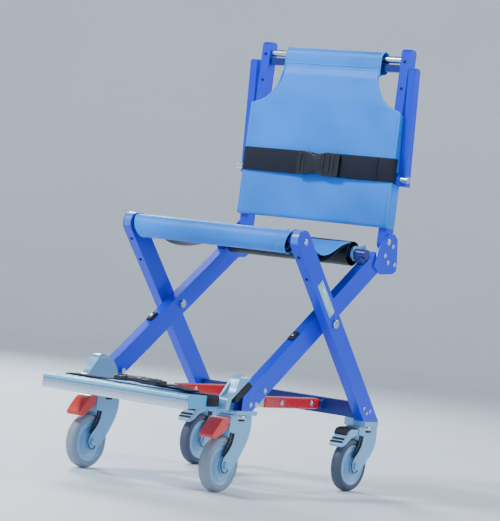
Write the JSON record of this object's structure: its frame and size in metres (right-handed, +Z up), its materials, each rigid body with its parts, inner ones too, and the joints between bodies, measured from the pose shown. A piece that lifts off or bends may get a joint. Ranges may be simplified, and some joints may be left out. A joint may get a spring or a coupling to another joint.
{
  "type": "folding stair chair",
  "caption": "Folding stair chair: crossed side frames on swivel casters carry a sling seat and sling backrest, with swing-back carry handles, a chest belt, lock struts and a fold-up footrest.",
  "frame": {"origin": "floor level, centred between the sides and between the front and rear ends", "axes": "+Z up, -Y towards the footrest and the way the sitter faces, +X to the sitter's left"},
  "size_m": [0.5106, 0.774, 1.062],
  "materials": {
    "frame_blue": "semi-gloss blue powder coat",
    "frame_dark": "semi-gloss dark blue powder coat",
    "cap_grey": "satin moulded plastic",
    "casting": "satin cast metal with a light coat",
    "steel": "bright brushed metal",
    "red_plastic": "satin red moulding",
    "black_plastic": "matt moulded plastic",
    "vinyl": "smooth wipe-clean coated fabric",
    "webbing": "woven near-black strap",
    "tyre": "matt grey non-marking rubber",
    "disc": "satin pale wheel disc"
  },
  "bodies": {
    "a_frame": {"a_tube_left": "frame_blue", "a_tube_right": "frame_blue", "a_block_left": "black_plastic", "a_block_right": "black_plastic", "foot_bracket_left": "casting", "foot_bracket_right": "casting", "hinge_plate_left": "frame_blue", "hinge_plate_right": "frame_blue", "pivot_bolt_left": "steel", "pivot_bolt_right": "steel", "front_plate_left": "casting", "front_plate_right": "casting", "front_cross_bar": "steel", "seat_rear_tube": "steel", "seat_sling": "vinyl"},
    "b_frame": {"b_tube_left": "frame_blue", "b_tube_right": "frame_blue", "b_cap_left": "cap_grey", "b_cap_right": "cap_grey", "rear_plate_left": "casting", "rear_plate_right": "casting", "seat_front_tube": "steel", "rear_cross_member": "frame_dark"},
    "backrest": {"post_left": "frame_blue", "post_right": "frame_blue", "handle_pin_left": "steel", "handle_pin_right": "steel", "top_tube": "steel", "back_bar": "frame_dark", "back_sling": "vinyl", "chest_belt": "webbing", "chest_buckle": "black_plastic"},
    "footrest": {"foot_panel": "casting", "foot_edge": "steel", "foot_strap": "webbing", "foot_buckle": "black_plastic"},
    "strut_left": {"strut_bar_left": "steel", "strut_grip_left": "red_plastic"},
    "handle_left": {"handle_left": "frame_blue"},
    "latch_left": {"back_latch_left": "steel"},
    "front_left_swivel": {"front_left_fork": "casting"},
    "front_left_wheel": {"front_left_tyre": "tyre", "front_left_hub": "disc"},
    "front_left_pedal_body": {"front_left_pedal": "red_plastic"},
    "rear_left_swivel": {"rear_left_fork": "casting"},
    "rear_left_wheel": {"rear_left_tyre": "tyre", "rear_left_hub": "disc"},
    "rear_left_pedal_body": {"rear_left_pedal": "black_plastic"},
    "strut_right": {"strut_bar_right": "steel", "strut_grip_right": "red_plastic"},
    "handle_right": {"handle_right": "frame_blue"},
    "latch_right": {"back_latch_right": "steel"},
    "front_right_swivel": {"front_right_fork": "casting"},
    "front_right_wheel": {"front_right_tyre": "tyre", "front_right_hub": "disc"},
    "front_right_pedal_body": {"front_right_pedal": "red_plastic"},
    "rear_right_swivel": {"rear_right_fork": "casting"},
    "rear_right_wheel": {"rear_right_tyre": "tyre", "rear_right_hub": "disc"},
    "rear_right_pedal_body": {"rear_right_pedal": "black_plastic"}
  },
  "joints": [
    {"name": "frame_fold", "type": "hinge", "parent": "a_frame", "child": "b_frame", "pos_m": [0, 0.095, 0.394], "axis": [-1, 0, 0], "range_deg": [0, 60], "deforming": ["seat_sling"]},
    {"name": "back_fold", "type": "hinge", "parent": "a_frame", "child": "backrest", "pos_m": [0, 0.344, 0.594], "axis": [1, 0, 0], "range_deg": [0, 52]},
    {"name": "foot_fold", "type": "hinge", "parent": "a_frame", "child": "footrest", "pos_m": [0, -0.24, 0.199], "axis": [-1, 0, 0], "range_deg": [0, 66]},
    {"name": "strut_lift_left", "type": "hinge", "parent": "b_frame", "child": "strut_left", "pos_m": [-0.125, 0.255, 0.196], "axis": [-1, 0, 0], "range_deg": [0, 32]},
    {"name": "handle_swing_left", "type": "hinge", "parent": "backrest", "child": "handle_left", "pos_m": [-0.2314, 0.3436, 0.7491], "axis": [-1, 0, 0], "range_deg": [0, 100]},
    {"name": "latch_turn_left", "type": "hinge", "parent": "a_frame", "child": "latch_left", "pos_m": [-0.182, 0.254, 0.561], "axis": [-1, 0, 0], "range_deg": [0, 40]},
    {"name": "front_left_swivel_turn", "type": "hinge", "parent": "a_frame", "child": "front_left_swivel", "pos_m": [-0.188, -0.176, 0.165], "axis": [0, 0, 1], "continuous": true},
    {"name": "front_left_wheel_spin", "type": "hinge", "parent": "front_left_swivel", "child": "front_left_wheel", "pos_m": [-0.188, -0.218, 0.0625], "axis": [1, 0, 0], "continuous": true},
    {"name": "front_left_pedal_press", "type": "hinge", "parent": "front_left_swivel", "child": "front_left_pedal_body", "pos_m": [-0.188, -0.218, 0.154], "axis": [1, 0, 0], "range_deg": [0, 8]},
    {"name": "rear_left_swivel_turn", "type": "hinge", "parent": "b_frame", "child": "rear_left_swivel", "pos_m": [-0.222, 0.308, 0.15], "axis": [0, 0, 1], "continuous": true},
    {"name": "rear_left_wheel_spin", "type": "hinge", "parent": "rear_left_swivel", "child": "rear_left_wheel", "pos_m": [-0.222, 0.268, 0.0625], "axis": [1, 0, 0], "continuous": true},
    {"name": "rear_left_pedal_press", "type": "hinge", "parent": "rear_left_swivel", "child": "rear_left_pedal_body", "pos_m": [-0.222, 0.268, 0.14], "axis": [1, 0, 0], "range_deg": [0, 5.5]},
    {"name": "strut_lift_right", "type": "hinge", "parent": "b_frame", "child": "strut_right", "pos_m": [0.125, 0.255, 0.196], "axis": [-1, 0, 0], "range_deg": [0, 32]},
    {"name": "handle_swing_right", "type": "hinge", "parent": "backrest", "child": "handle_right", "pos_m": [0.2314, 0.3436, 0.7491], "axis": [-1, 0, 0], "range_deg": [0, 100]},
    {"name": "latch_turn_right", "type": "hinge", "parent": "a_frame", "child": "latch_right", "pos_m": [0.182, 0.254, 0.561], "axis": [-1, 0, 0], "range_deg": [0, 40]},
    {"name": "front_right_swivel_turn", "type": "hinge", "parent": "a_frame", "child": "front_right_swivel", "pos_m": [0.188, -0.176, 0.165], "axis": [0, 0, 1], "continuous": true},
    {"name": "front_right_wheel_spin", "type": "hinge", "parent": "front_right_swivel", "child": "front_right_wheel", "pos_m": [0.188, -0.218, 0.0625], "axis": [1, 0, 0], "continuous": true},
    {"name": "front_right_pedal_press", "type": "hinge", "parent": "front_right_swivel", "child": "front_right_pedal_body", "pos_m": [0.188, -0.218, 0.154], "axis": [1, 0, 0], "range_deg": [0, 8]},
    {"name": "rear_right_swivel_turn", "type": "hinge", "parent": "b_frame", "child": "rear_right_swivel", "pos_m": [0.222, 0.308, 0.15], "axis": [0, 0, 1], "continuous": true},
    {"name": "rear_right_wheel_spin", "type": "hinge", "parent": "rear_right_swivel", "child": "rear_right_wheel", "pos_m": [0.222, 0.268, 0.0625], "axis": [1, 0, 0], "continuous": true},
    {"name": "rear_right_pedal_press", "type": "hinge", "parent": "rear_right_swivel", "child": "rear_right_pedal_body", "pos_m": [0.222, 0.268, 0.14], "axis": [1, 0, 0], "range_deg": [0, 5.5]}
  ]
}
